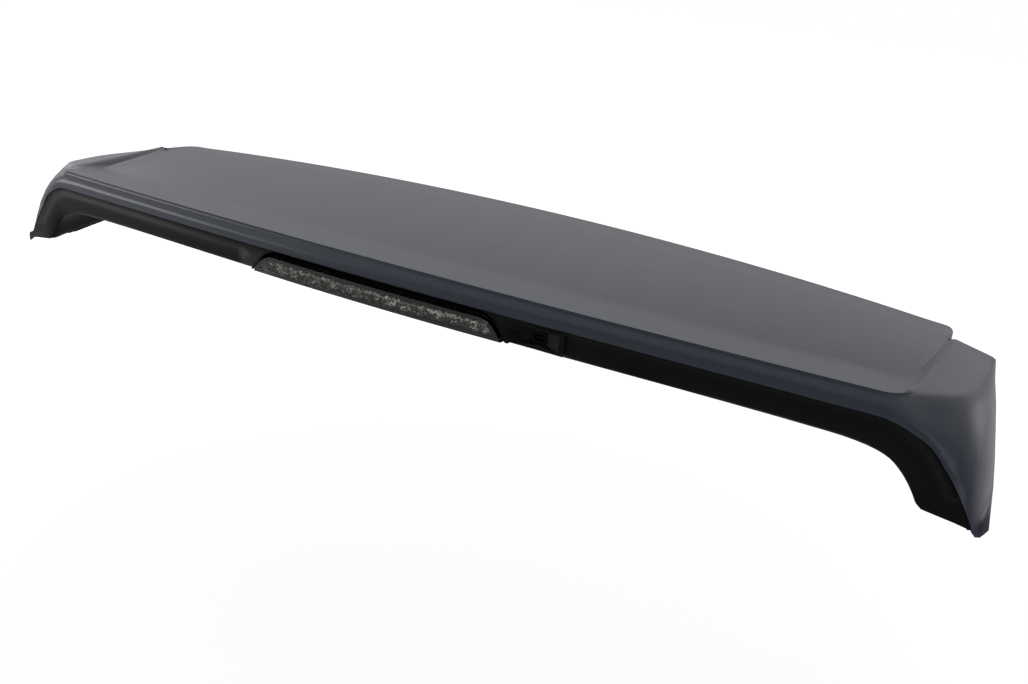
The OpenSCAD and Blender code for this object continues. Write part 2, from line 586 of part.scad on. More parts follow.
// Thin lines along the dark frame above the strip
module frame_lines() {
    line = 0.6;
    reach = strip_half - 24;
    for (k = [1:3]) translate([-reach, strip_low + strip_h + 1.1 * k]) square([2 * reach, line]);
}
module stop_lamp_housing() {
    color([0.08, 0.08, 0.08]) placed() difference() {
        union() {
            intersection() {
                bowed(lamp_back + frame_at, lamp_back + 80);
                behind(lamp_back, house_back) lamp_shape(lens_wall + slip);
            }
            intersection() {
                bowed(lamp_back + frame_at - 0.8, lamp_back + frame_at + 1);
                behind(lamp_back, house_back) frame_lines();
            }
            translate([socket_x - socket_w / 2, house_back - 1, socket_low]) cube([socket_w, 13, socket_h]);
        }
        difference() {
            intersection() {
                bowed(lamp_back + frame_at + frame_wall, lamp_back + 80);
                behind(lamp_back, house_back - house_wall) lamp_shape(lens_wall + slip + house_wall);
            }
            for (x = [-screw_x, screw_x]) forward(x, board_y, screw_z, lamp_boss, 8);
        }
        behind(lamp_back, lamp_back + frame_at + 8) strip_shape(1.5);
        for (x = [-screw_x, screw_x]) forward(x, board_y + 0.5, screw_z, lamp_thread + slip, 12, 24);
        translate([socket_x - socket_w / 2 + 2, house_back + 2, socket_low + 2])
            cube([socket_w - 4, 12, socket_h - 4]);
    }
}

module stop_lamp_gasket() {
    color([0.13, 0.13, 0.13]) placed() difference() {
        behind(house_back + clear, bay_back - clear) lamp_shape(lens_wall + slip);
        for (x = [-screw_x, screw_x]) forward(x, house_back - 1, screw_z, lamp_boss + 3 * slip, 4);
        translate([socket_x - socket_w / 2 - socket_room, house_back - 1, socket_low - socket_room])
            cube([socket_w + 2 * socket_room, 5, socket_h + 2 * socket_room]);
    }
}

module stop_lamp_screws() {
    color([0.7, 0.7, 0.72]) placed() for (x = [-screw_x, screw_x])
        translate([x, bay_back + panel_wall + clear, screw_z]) rotate([-90, 0, 0]) {
            difference() {
                cylinder(d = lamp_head, h = 2.6, $fn = 48);
                translate([0, 0, 1.2]) cross(4, 1, 3);
            }
            translate([0, 0, -9.5]) cylinder(d = lamp_thread, h = 9.6, $fn = 32);
        }
}

body_w = jet_w - 2 * slip;
body_h = jet_h - 2 * slip;
body_deep = 16;
insert_x = jet_x - jet_w / 2 + 5.6;   // left side of the slotted insert
insert_w = jet_w - 7.7;
insert_h = jet_h - 6.2;
insert_deep = 8.5;
barb_d = 5;
module washer_jet_body() {
    y0 = jet_back - 1;
    color([0.06, 0.06, 0.06]) placed() difference() {
        union() {
            translate([jet_x - body_w / 2, y0, jet_z - body_h / 2]) cube([body_w, body_deep, body_h]);
            translate([jet_x, y0 + body_deep - 1, jet_z]) rotate([-90, 0, 0]) {
                cylinder(d = barb_d, h = 16, $fn = 32);
                for (k = [0:2]) translate([0, 0, 5 + 3.4 * k])
                    cylinder(d1 = barb_d + 2, d2 = barb_d, h = 3, $fn = 32);
            }
        }
        translate([insert_x - clear, y0 - 1, jet_z - insert_h / 2 - clear])
            cube([insert_w + 2 * clear, 11, insert_h + 2 * clear]);
        forward(jet_x, y0 + 8, jet_z, barb_d / 2, 30, 24);
    }
}

module washer_jet_insert() {
    slot = 1.8;
    color([0.10, 0.10, 0.10]) placed() difference() {
        translate([insert_x, jet_back + 0.4, jet_z - insert_h / 2]) cube([insert_w, insert_deep, insert_h]);
        for (k = [-1, 1]) translate([insert_x + 1.4, jet_back - 1, jet_z + k * jet_h * 0.15 - slot / 2])
            cube([insert_w, 5, slot]);
        forward(jet_x, jet_back + 3, jet_z, 2.2, 20, 24);
    }
}

module washer_jet_seal() {
    color([0.12, 0.12, 0.12]) placed() difference() {
        jet_window(panel_wall, jet_back + sleeve + clear, jet_back + sleeve + 1.6);
        jet_window(clear, jet_back + sleeve - 1, jet_back + sleeve + 3);
    }
}

module mounting_studs() {
    tip = 1;
    color([0.75, 0.75, 0.70]) placed() at_each(stud_places, land_rise) {
        translate([0, 0, tip - stud_reach]) cylinder(d = stud_d, h = stud_reach - tip, $fn = 48);
        cylinder(d = stud_collar, h = boss_h + tip, $fn = 48);
        translate([0, 0, -stud_reach]) cylinder(d1 = stud_d - 2, d2 = stud_d, h = tip, $fn = 48);
        translate([0, 0, boss_h + clear]) cylinder(d = stud_head, h = 2.5, $fn = 64);
    }
}

// Foam rings, pressed flush with the mounting plane
module stud_seals() {
    color([0.15, 0.15, 0.15]) placed() at_each(stud_places, land_rise + slip) difference() {
        cylinder(d = recess_d - 0.6, h = recess_h - slip - clear, $fn = 48);
        translate([0, 0, -1]) cylinder(d = stud_collar + 0.6, h = recess_h + 2, $fn = 32);
    }
}

module shell_screws() {
    color([0.7, 0.7, 0.72]) placed() at_each(tie_places, tie_z - tie_head_h - clear) rotate([180, 0, 0]) {
        difference() {
            cylinder(d = tie_head, h = tie_head_h, $fn = 48);
            translate([0, 0, 1.4]) cross(4.8, 1.2, 3);
        }
        translate([0, 0, -tie_long]) cylinder(d = tie_thread, h = tie_long + clear, $fn = 32);
    }
}

foam_h = 4;
foam_gap = 0.15;
// Foam strip on the outer face of a grid, between two of its rows
module strip_on(g, i0, i1, j, share) {
    ring = [for (i = [i0:i1]) let (a = mix(g[i][j], g[i][j + 1], share[0]),
            b = mix(g[i][j], g[i][j + 1], share[1]), n = grid_normal(g, i, j + 1))
        each [a + n * foam_gap, b + n * foam_gap, b + n * foam_h, a + n * foam_h]];
    tube_solid(ring, i1 - i0 + 1, 4);
}
module front_seal() {
    g = both(right_panel);
    m = (len(g) - 1) / 2;
    color([0.14, 0.14, 0.14]) placed()
        strip_on(g, m - mid_cols, m + mid_cols, len(g[0]) - 2, [0.35, 0.75]);
}

// Foam strip under the floor of a leg, beside its clips
seal_far = 16;
seal_near = 9;
module leg_seal() {
    ring = [for (s = [0.2:0.08:0.96]) let (m = floor_mid(s), d = unit(floor_mid(s + 0.02) - m),
            n = unit([0, d[2], -d[1]] * (d[1] > 0 ? 1 : -1)),
            a = m - [seal_far, 0, 0], b = m - [seal_near, 0, 0])
        each [a + 2 * foam_gap * n, b + 2 * foam_gap * n, b + foam_h * n, a + foam_h * n]];
    tube_solid(ring, len(ring) / 4, 4);
}
module right_leg_seal() color([0.14, 0.14, 0.14]) placed() leg_seal();
module left_leg_seal() color([0.14, 0.14, 0.14]) placed() mirror([1, 0, 0]) leg_seal();

module leg_clips() {
    clip_point = 3;
    color([0.85, 0.85, 0.80]) placed() both_sides() for (s = clip_s) on_floor(s) {
        translate([0, 0, clip_top]) cylinder(d = clip_head, h = 1.6, $fn = 48);
        translate([0, 0, clip_point - clip_reach])
            cylinder(d = clip_d, h = clip_reach - clip_point + clip_top + clear, $fn = 32);
        translate([0, 0, -clip_reach]) cylinder(d1 = clip_d / 2, d2 = clip_d, h = clip_point, $fn = 32);
    }
}

outer_shell();
under_panel();
stop_lamp_lens();
stop_lamp_reflector();
stop_lamp_board();
stop_lamp_leds();
stop_lamp_housing();
stop_lamp_gasket();
stop_lamp_screws();
washer_jet_body();
washer_jet_insert();
washer_jet_seal();
mounting_studs();
stud_seals();
shell_screws();
front_seal();
left_leg_seal();
right_leg_seal();
leg_clips();
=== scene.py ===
import bpy
import json
import math
import mathutils
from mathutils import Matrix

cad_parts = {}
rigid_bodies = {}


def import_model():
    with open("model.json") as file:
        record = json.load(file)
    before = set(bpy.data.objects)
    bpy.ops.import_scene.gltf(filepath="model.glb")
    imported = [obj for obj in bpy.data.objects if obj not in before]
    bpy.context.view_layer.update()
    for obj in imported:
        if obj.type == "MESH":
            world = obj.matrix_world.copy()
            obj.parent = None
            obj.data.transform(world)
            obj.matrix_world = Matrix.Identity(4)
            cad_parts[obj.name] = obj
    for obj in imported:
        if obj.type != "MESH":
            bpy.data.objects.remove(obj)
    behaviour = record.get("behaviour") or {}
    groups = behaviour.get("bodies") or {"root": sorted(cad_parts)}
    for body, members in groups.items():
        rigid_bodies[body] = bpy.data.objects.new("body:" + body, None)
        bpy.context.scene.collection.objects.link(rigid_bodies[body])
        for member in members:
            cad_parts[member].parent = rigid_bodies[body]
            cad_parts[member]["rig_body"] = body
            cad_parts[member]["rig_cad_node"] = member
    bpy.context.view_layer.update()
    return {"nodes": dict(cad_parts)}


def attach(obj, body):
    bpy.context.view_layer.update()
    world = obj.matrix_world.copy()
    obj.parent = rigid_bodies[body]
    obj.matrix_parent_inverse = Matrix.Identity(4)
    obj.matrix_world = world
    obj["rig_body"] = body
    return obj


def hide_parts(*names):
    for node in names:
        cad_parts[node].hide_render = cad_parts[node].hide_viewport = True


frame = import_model()
nodes = frame["nodes"]
print("frame loaded:", len(nodes), "nodes")

mixFirst, mixSecond, mixResult = 6, 7, 2      # sockets of a colour mix node
bandScale = math.pi / 10                      # wave texture scale for one band per metre


def clearSelection():
    bpy.ops.object.select_all(action="DESELECT")


def pick(obj):
    clearSelection()
    obj.hide_viewport = False
    obj.select_set(True)
    bpy.context.view_layer.objects.active = obj


# a merged copy of a CAD node, smoothed or flat, that stands for the node
def dressedCopy(node, pieceName, look):
    pick(nodes[node])
    bpy.ops.object.duplicate()
    piece = bpy.context.view_layer.objects.active
    piece.name = pieceName
    piece.data.name = pieceName
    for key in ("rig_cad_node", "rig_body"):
        if key in piece:
            del piece[key]
    piece.data.materials.clear()
    bpy.ops.object.mode_set(mode="EDIT")
    bpy.ops.mesh.select_all(action="SELECT")
    bpy.ops.mesh.remove_doubles(threshold=look["mergeMm"] / 1000)
    bpy.ops.mesh.tris_convert_to_quads(face_threshold=math.radians(look["flatAngle"]),
                                       shape_threshold=math.radians(look["shapeAngle"]))
    bpy.ops.object.mode_set(mode="OBJECT")
    if look["smoothAngle"] > 0:
        bpy.ops.object.shade_smooth_by_angle(angle=math.radians(look["smoothAngle"]))
    else:
        bpy.ops.object.shade_flat()
    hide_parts(node)
    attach(piece, "root")
    return piece


def give(obj, material):
    obj.data.materials.clear()
    obj.data.materials.append(material)


def solid(colour):
    return (*colour, 1)


# a shader node with its settings, and its input values by socket name or number
def addNode(tree, kind, values=None, **settings):
    node = tree.nodes.new(kind)
    for key, value in settings.items():
        setattr(node, key, value)
    for key, value in (values or {}).items():
        node.inputs[key].default_value = value
    return node


def addMath(tree, operation, values=None):
    return addNode(tree, "ShaderNodeMath", values, operation=operation)


def addGroup(tree, group, values):
    return addNode(tree, "ShaderNodeGroup", node_tree=group, values=values)


def addColourMix(tree, values=None):
    return addNode(tree, "ShaderNodeMix", data_type="RGBA", values=values)


def newGroup(name, inputs, outputs):
    group = bpy.data.node_groups.new(name, "ShaderNodeTree")
    for label, kind, value in inputs:
        socket = group.interface.new_socket(name=label, in_out="INPUT", socket_type=kind)
        socket.default_value = value
    for label, kind in outputs:
        group.interface.new_socket(name=label, in_out="OUTPUT", socket_type=kind)
    return group, group.nodes.new("NodeGroupInput"), group.nodes.new("NodeGroupOutput")


def newMaterial(name):
    material = bpy.data.materials.new(name)
    material.use_nodes = True
    return material, material.node_tree, material.node_tree.nodes["Principled BSDF"]


patterns = {
    "cloudDetail": 4,
    "grainDetail": 3,
    "dimpleSpread": 0.7,           # 0 puts the dimples in rows, 1 scatters them
    "windowSoft": 0.0006,          # width of the soft edge of the lens window
    "dustDetail": 6,
    "dustRoughness": 0.7,
    "dustFacing": (0.2, 1.0),      # how far up a face looks before dust lies on it
    "dustPatch": (0.45, 0.75),     # part of the noise that turns into dust
}


# soft clouds in the colour and the gloss of a sprayed or moulded surface
def cloudGroup():
    group, start, end = newGroup(
        "surfaceClouds",
        [("Scale", "NodeSocketFloat", 6.0),
         ("Dark", "NodeSocketColor", (0.1, 0.1, 0.1, 1)),
         ("Light", "NodeSocketColor", (0.2, 0.2, 0.2, 1)),
         ("Rough low", "NodeSocketFloat", 0.3),
         ("Rough high", "NodeSocketFloat", 0.4)],
        [("Color", "NodeSocketColor"), ("Roughness", "NodeSocketFloat")])
    link = group.links.new
    coord = addNode(group, "ShaderNodeTexCoord")
    noise = addNode(group, "ShaderNodeTexNoise", {"Detail": patterns["cloudDetail"]})
    mix = addColourMix(group)
    rough = addNode(group, "ShaderNodeMapRange")
    link(coord.outputs["Object"], noise.inputs["Vector"])
    link(start.outputs["Scale"], noise.inputs["Scale"])
    link(noise.outputs["Fac"], mix.inputs["Factor"])
    link(start.outputs["Dark"], mix.inputs[mixFirst])
    link(start.outputs["Light"], mix.inputs[mixSecond])
    link(noise.outputs["Fac"], rough.inputs["Value"])
    link(start.outputs["Rough low"], rough.inputs["To Min"])
    link(start.outputs["Rough high"], rough.inputs["To Max"])
    link(mix.outputs[mixResult], end.inputs["Color"])
    link(rough.outputs["Result"], end.inputs["Roughness"])
    return group


# fine grain of moulded plastic or orange peel of paint, as a normal
def grainGroup():
    group, start, end = newGroup(
        "fineGrain",
        [("Scale", "NodeSocketFloat", 900.0),
         ("Strength", "NodeSocketFloat", 0.1),
         ("Depth", "NodeSocketFloat", 0.0002)],
        [("Normal", "NodeSocketVector")])
    link = group.links.new
    coord = addNode(group, "ShaderNodeTexCoord")
    noise = addNode(group, "ShaderNodeTexNoise", {"Detail": patterns["grainDetail"]})
    cells = addNode(group, "ShaderNodeTexVoronoi")
    height = addMath(group, "ADD")
    bump = addNode(group, "ShaderNodeBump")
    for texture in (noise, cells):
        link(coord.outputs["Object"], texture.inputs["Vector"])
        link(start.outputs["Scale"], texture.inputs["Scale"])
    link(noise.outputs["Fac"], height.inputs[0])
    link(cells.outputs["Distance"], height.inputs[1])
    link(height.outputs[0], bump.inputs["Height"])
    link(start.outputs["Strength"], bump.inputs["Strength"])
    link(start.outputs["Depth"], bump.inputs["Distance"])
    link(bump.outputs["Normal"], end.inputs["Normal"])
    return group


# small cells across the lens that each have their own brightness, used as painted glints
def sparkleGroup():
    group, start, end = newGroup(
        "paintedFacetGlints",
        [("Across", "NodeSocketFloat", 300.0),
         ("Up", "NodeSocketFloat", 300.0),
         ("Low", "NodeSocketFloat", 0.0),
         ("High", "NodeSocketFloat", 1.0),
         ("Dim", "NodeSocketColor", (0.3, 0.3, 0.3, 1)),
         ("Bright", "NodeSocketColor", (0.9, 0.9, 0.9, 1))],
        [("Color", "NodeSocketColor")])
    link = group.links.new
    coord = addNode(group, "ShaderNodeTexCoord")
    size = addNode(group, "ShaderNodeCombineXYZ")
    stretch = addNode(group, "ShaderNodeVectorMath", operation="MULTIPLY")
    cells = addNode(group, "ShaderNodeTexVoronoi",
                    {"Scale": 1.0, "Randomness": patterns["dimpleSpread"]})
    shade = addNode(group, "ShaderNodeSeparateColor")
    level = addNode(group, "ShaderNodeMapRange")
    mix = addColourMix(group)
    link(start.outputs["Across"], size.inputs["X"])
    link(start.outputs["Up"], size.inputs["Z"])
    link(coord.outputs["Object"], stretch.inputs[0])
    link(size.outputs["Vector"], stretch.inputs[1])
    link(stretch.outputs["Vector"], cells.inputs["Vector"])
    link(cells.outputs["Color"], shade.inputs["Color"])
    link(shade.outputs["Red"], level.inputs["Value"])
    link(start.outputs["Low"], level.inputs["From Min"])
    link(start.outputs["High"], level.inputs["From Max"])
    link(level.outputs["Result"], mix.inputs["Factor"])
    link(start.outputs["Dim"], mix.inputs[mixFirst])
    link(start.outputs["Bright"], mix.inputs[mixSecond])
    link(mix.outputs[mixResult], end.inputs["Color"])
    return group


# a slanted window across the part: 1 inside it, with a soft edge
def windowGroup():
    group, start, end = newGroup(
        "slantedWindow",
        [("Half width", "NodeSocketFloat", 0.15),
         ("Low", "NodeSocketFloat", 0.0),
         ("High", "NodeSocketFloat", 0.02),
         ("Slant", "NodeSocketFloat", 0.75),
         ("Soft", "NodeSocketFloat", patterns["windowSoft"])],
        [("Mask", "NodeSocketFloat")])
    link = group.links.new
    coord = addNode(group, "ShaderNodeTexCoord")
    place = addNode(group, "ShaderNodeSeparateXYZ")
    link(coord.outputs["Object"], place.inputs["Vector"])

    def maths(operation, *sources):
        node = addMath(group, operation)
        for socket, source in zip(node.inputs, sources):
            link(source, socket)
        return node.outputs[0]

    def inside(distance):
        edge = addNode(group, "ShaderNodeMapRange", {"From Min": 0.0})
        link(start.outputs["Soft"], edge.inputs["From Max"])
        link(distance, edge.inputs["Value"])
        return edge.outputs["Result"]

    drop = maths("SUBTRACT", start.outputs["High"], place.outputs["Z"])
    widening = maths("MULTIPLY", drop, start.outputs["Slant"])
    reach = maths("ADD", start.outputs["Half width"], widening)
    aside = inside(maths("SUBTRACT", reach, maths("ABSOLUTE", place.outputs["X"])))
    above = inside(maths("SUBTRACT", place.outputs["Z"], start.outputs["Low"]))
    below = inside(drop)
    link(maths("MULTIPLY", maths("MULTIPLY", aside, above), below), end.inputs["Mask"])
    return group


# lint and dust that settles on what faces up
def dustGroup():
    group, start, end = newGroup(
        "settledDust",
        [("Color", "NodeSocketColor", (0.1, 0.1, 0.1, 1)),
         ("Dust", "NodeSocketColor", (0.4, 0.4, 0.38, 1)),
         ("Amount", "NodeSocketFloat", 0.1),
         ("Scale", "NodeSocketFloat", 40.0)],
        [("Color", "NodeSocketColor")])
    link = group.links.new
    facingLow, facingHigh = patterns["dustFacing"]
    patchLow, patchHigh = patterns["dustPatch"]
    coord = addNode(group, "ShaderNodeTexCoord")
    facing = addNode(group, "ShaderNodeSeparateXYZ")
    noise = addNode(group, "ShaderNodeTexNoise",
                    {"Detail": patterns["dustDetail"], "Roughness": patterns["dustRoughness"]})
    upward = addNode(group, "ShaderNodeMapRange",
                     {"From Min": facingLow, "From Max": facingHigh})
    patch = addNode(group, "ShaderNodeMapRange", {"From Min": patchLow, "From Max": patchHigh})
    both = addMath(group, "MULTIPLY")
    amount = addMath(group, "MULTIPLY")
    mix = addColourMix(group)
    link(coord.outputs["Normal"], facing.inputs["Vector"])
    link(facing.outputs["Z"], upward.inputs["Value"])
    link(coord.outputs["Object"], noise.inputs["Vector"])
    link(start.outputs["Scale"], noise.inputs["Scale"])
    link(noise.outputs["Fac"], patch.inputs["Value"])
    link(upward.outputs["Result"], both.inputs[0])
    link(patch.outputs["Result"], both.inputs[1])
    link(both.outputs[0], amount.inputs[0])
    link(start.outputs["Amount"], amount.inputs[1])
    link(amount.outputs[0], mix.inputs["Factor"])
    link(start.outputs["Color"], mix.inputs[mixFirst])
    link(start.outputs["Dust"], mix.inputs[mixSecond])
    link(mix.outputs[mixResult], end.inputs["Color"])
    return group


clouds = cloudGroup()
grain = grainGroup()
sparkle = sparkleGroup()
dust = dustGroup()
window = windowGroup()
print("node groups made")

# what a finish has where its own values don't say
plainFinish = {
    "grainScale": 900.0,
    "grainStrength": 0.1,
    "grainDepth": 0.0002,
    "metallic": 0.0,
    "specular": 0.5,
}


# a finish: clouds, dust and grain into a Principled shader
def finish(name, ownLook):
    look = {**plainFinish, **ownLook}
    material, tree, shader = newMaterial(name)
    link = tree.links.new
    roughLow, roughHigh = look["rough"]
    cloud = addGroup(tree, clouds, {
        "Scale": look["cloudScale"], "Dark": solid(look["dark"]),
        "Light": solid(look["light"]), "Rough low": roughLow, "Rough high": roughHigh})
    colour = cloud.outputs["Color"]
    if "dust" in look:
        layer = addGroup(tree, dust, {
            "Dust": solid(look["dust"]), "Amount": look["dustAmount"],
            "Scale": look["dustScale"]})
        link(colour, layer.inputs["Color"])
        colour = layer.outputs["Color"]
    fine = addGroup(tree, grain, {
        "Scale": look["grainScale"], "Strength": look["grainStrength"],
        "Depth": look["grainDepth"]})
    link(colour, shader.inputs["Base Color"])
    link(cloud.outputs["Roughness"], shader.inputs["Roughness"])
    link(fine.outputs["Normal"], shader.inputs["Normal"])
    shader.inputs["Metallic"].default_value = look["metallic"]
    shader.inputs["Specular IOR Level"].default_value = look["specular"]
    return material


primerShell = {
    "dark": (0.030, 0.035, 0.049),
    "light": (0.038, 0.043, 0.058),
    "rough": (0.36, 0.43),
    "cloudScale": 2.5,
    "grainScale": 1400,
    "grainStrength": 0.05,
    "specular": 0.22,
    "dust": (0.30, 0.30, 0.29),
    "dustAmount": 0.05,
    "dustScale": 9.0,
    "mergeMm": 0.02,
    "flatAngle": 12,
    "shapeAngle": 50,
    "smoothAngle": 32,
}
upperShell = dressedCopy("outer_shell", "upperShell", primerShell)
give(upperShell, finish("primerPaint", primerShell))
print("painted shell dressed")

blackPanel = {
    "dark": (0.0035, 0.0037, 0.0037),
    "light": (0.0060, 0.0062, 0.0062),
    "rough": (0.40, 0.48),
    "cloudScale": 9,
    "grainScale": 1100,
    "grainStrength": 0.22,
    "grainDepth": 0.0003,
    "specular": 0.05,
    "dust": (0.10, 0.10, 0.10),
    "dustAmount": 0.12,
    "dustScale": 30.0,
    "mergeMm": 0.02,
    "flatAngle": 12,
    "shapeAngle": 50,
    "smoothAngle": 32,
}
lowerPanel = dressedCopy("under_panel", "lowerPanel", blackPanel)
give(lowerPanel, finish("panelBlack", blackPanel))
print("black panel dressed")

lampGlass = {
    "rim": (0.016, 0.017, 0.016),       # tint of the dark border
    "clear": (1.0, 1.0, 0.94),          # clear tint of the cells painted as glints, through which the reflector shines
    "smoked": (0.07, 0.07, 0.064),      # tint between the dimples
    "dimplesAcross": 520.0,             # dimples per metre
    "dimplesUp": 480.0,
    "glintShare": (0.56, 0.80),        # cells under the first stay dark, over the second clear
    "dotsPerMetre": 300.0,              # dotted line near the top of the bright strip
    "dotsHeight": 0.0131,
    "dotsHalf": 0.0007,
    "ribs": 420.0,                      # fine upright ribs per metre
    "ribDepth": 0.0002,
    "rough": 0.01,
    "ior": 1.36,
    "windowHalf": 0.1475,
    "windowLow": 0.0035,
    "windowHigh": 0.0176,
    "windowSlant": 0.75,
    "mergeMm": 0.02,
    "flatAngle": 12,
    "shapeAngle": 50,
    "smoothAngle": 0,
}


# glass with a dark ribbed border, and a window with bright dimples, painted glints, and a
# dotted line
def lensFinish():
    material, tree, shader = newMaterial("smokedLens")
    link = tree.links.new
    look = lampGlass
    shareLow, shareHigh = look["glintShare"]
    coord = addNode(tree, "ShaderNodeTexCoord")
    place = addNode(tree, "ShaderNodeSeparateXYZ")
    opening = addGroup(tree, window, {
        "Half width": look["windowHalf"], "Low": look["windowLow"],
        "High": look["windowHigh"], "Slant": look["windowSlant"]})
    # the bright cells are painted glints of the lens facets; the real reflector shows through
    # them
    dimples = addGroup(tree, sparkle, {
        "Across": look["dimplesAcross"], "Up": look["dimplesUp"],
        "Low": shareLow, "High": shareHigh,
        "Dim": solid(look["smoked"]), "Bright": solid(look["clear"])})

    def bands(perMetre):
        wave = addNode(tree, "ShaderNodeTexWave", {"Scale": perMetre * bandScale},
                       bands_direction="X")
        link(coord.outputs["Object"], wave.inputs["Vector"])
        return wave.outputs["Fac"]

    line = addMath(tree, "COMPARE", {1: look["dotsHeight"], 2: look["dotsHalf"]})
    dotted = addMath(tree, "MULTIPLY")
    inner = addColourMix(tree, {mixSecond: solid(look["clear"])})
    tint = addColourMix(tree, {mixFirst: solid(look["rim"])})
    border = addMath(tree, "SUBTRACT", {0: 1.0})
    height = addMath(tree, "MULTIPLY")
    bump = addNode(tree, "ShaderNodeBump", {"Distance": look["ribDepth"]})
    link(coord.outputs["Object"], place.inputs["Vector"])
    link(place.outputs["Z"], line.inputs[0])
    link(bands(look["dotsPerMetre"]), dotted.inputs[0])
    link(line.outputs[0], dotted.inputs[1])
    link(dotted.outputs[0], inner.inputs["Factor"])
    link(dimples.outputs["Color"], inner.inputs[mixFirst])
    link(opening.outputs["Mask"], tint.inputs["Factor"])
    link(inner.outputs[mixResult], tint.inputs[mixSecond])
    link(tint.outputs[mixResult], shader.inputs["Base Color"])
    link(opening.outputs["Mask"], border.inputs[1])
    link(bands(look["ribs"]), height.inputs[0])
    link(border.outputs[0], height.inputs[1])
    link(height.outputs[0], bump.inputs["Height"])
    link(bump.outputs["Normal"], shader.inputs["Normal"])
    shader.inputs["Roughness"].default_value = look["rough"]
    shader.inputs["IOR"].default_value = look["ior"]
    shader.inputs["Transmission Weight"].default_value = 1.0
    return material


lampLens = dressedCopy("stop_lamp_lens", "lampLens", lampGlass)
give(lampLens, lensFinish())
print("lens dressed")

smallParts = {
    "mirrorBright": {
        "dark": (0.50, 0.50, 0.45), "light": (0.85, 0.85, 0.78), "rough": (0.28, 0.36),
        "cloudScale": 160, "metallic": 0.8},
    "boardGreen": {
        "dark": (0.01, 0.06, 0.02), "light": (0.02, 0.10, 0.04), "rough": (0.35, 0.5),
        "cloudScale": 60},
    "diodeWhite": {
        "dark": (0.72, 0.68, 0.50), "light": (0.85, 0.82, 0.66), "rough": (0.25, 0.35),
        "cloudScale": 200},
    "housingBlack": {
        "dark": (0.007, 0.007, 0.007), "light": (0.013, 0.013, 0.013), "rough": (0.4, 0.5),
        "cloudScale": 30, "specular": 0.3},
    "foamGrey": {
        "dark": (0.012, 0.012, 0.012), "light": (0.03, 0.03, 0.03), "rough": (0.85, 0.95),
        "cloudScale": 300, "grainScale": 500, "grainStrength": 0.8, "grainDepth": 0.001,
        "specular": 0.2},
    "zincSteel": {
        "dark": (0.48, 0.48, 0.45), "light": (0.66, 0.65, 0.60), "rough": (0.28, 0.42),
        "cloudScale": 120, "grainScale": 700, "grainStrength": 0.15, "metallic": 1.0},
    "jetGloss": {
        "dark": (0.0008, 0.0008, 0.0008), "light": (0.0016, 0.0016, 0.0016),
        "rough": (0.08, 0.12), "cloudScale": 80, "specular": 0.04},
    "nylonBlack": {
        "dark": (0.016, 0.016, 0.016), "light": (0.028, 0.028, 0.028), "rough": (0.35, 0.50),
        "cloudScale": 80, "specular": 0.3},
}
keptFinishes = {
    "stop_lamp_reflector": "mirrorBright",
    "stop_lamp_board": "boardGreen",
    "stop_lamp_leds": "diodeWhite",
    "stop_lamp_housing": "housingBlack",
    "stop_lamp_gasket": "foamGrey",
    "stop_lamp_screws": "zincSteel",
    "washer_jet_body": "jetGloss",
    "washer_jet_insert": "jetGloss",
    "washer_jet_seal": "foamGrey",
    "mounting_studs": "zincSteel",
    "stud_seals": "foamGrey",
    "shell_screws": "zincSteel",
    "front_seal": "foamGrey",
    "left_leg_seal": "foamGrey",
    "right_leg_seal": "foamGrey",
    "leg_clips": "nylonBlack",
}
finishes = {name: finish(name, look) for name, look in smallParts.items()}
for node, name in keptFinishes.items():
    give(nodes[node], finishes[name])
print("small parts dressed")

studio = {
    "floorDrop": 0.42,                    # floor under the spoiler
    "floorSize": 30.0,
    "floorShade": (0.285, 0.30, 0.33),    # what the floor gives back to the object
    "floorGlow": 0.775,                   # what glossy surfaces see below them
    "paperGlowAndPaintedShadow": (0.12, 0.25),            # what the camera alone sees on top, near and far; less near the object, a painted shadow
    "paintedShadowReach": (0.5, 1.6),              # where near ends and far begins, from the middle
    "skyShade": 0.13,                     # even light from all round
    "skyTint": (0.84, 0.96, 1.20),
    "skyEdge": 0.57,                      # what glossy surfaces see near the horizon
    "skyTop": 1.72,                       # and overhead
    "skyHeights": (0.06, 0.62),           # where the first ends and the second begins
    "keyStrength": 0.1,
    "keyAngle": 60.0,
    "keyPlace": (-0.5, 0.4, 2.2),
}
# place, aim, size and watts of each soft lamp
softLamps = {
    "frontBox": ((0.9, 2.6, 1.5), (0.4, 0, 0), (1.6, 1.2), 3.5),
    "rightSide": ((2.6, 2.2, 0.6), (0.6, 0, 0), (1.4, 1.2), 16.0),
    "rearLeft": ((-3.0, -1.5, 0.1), (-0.4, 0, 0), (1.4, 1.0), 44.0),
    "leftSide": ((-2.4, 0.6, 1.0), (-0.5, 0, 0), (1.0, 1.2), 10.0),
    "rearRight": ((2.6, -2.0, 0.0), (0.4, 0, 0), (1.2, 1.0), 15.5),
}


# one where the camera, a gloss or a glass looks, and nothing for the even light
def seenMask(tree):
    rays = addNode(tree, "ShaderNodeLightPath")
    first = addMath(tree, "MAXIMUM")
    second = addMath(tree, "MAXIMUM")
    tree.links.new(rays.outputs["Is Camera Ray"], first.inputs[0])
    tree.links.new(rays.outputs["Is Glossy Ray"], first.inputs[1])
    tree.links.new(first.outputs[0], second.inputs[0])
    tree.links.new(rays.outputs["Is Transmission Ray"], second.inputs[1])
    return rays, second.outputs[0]
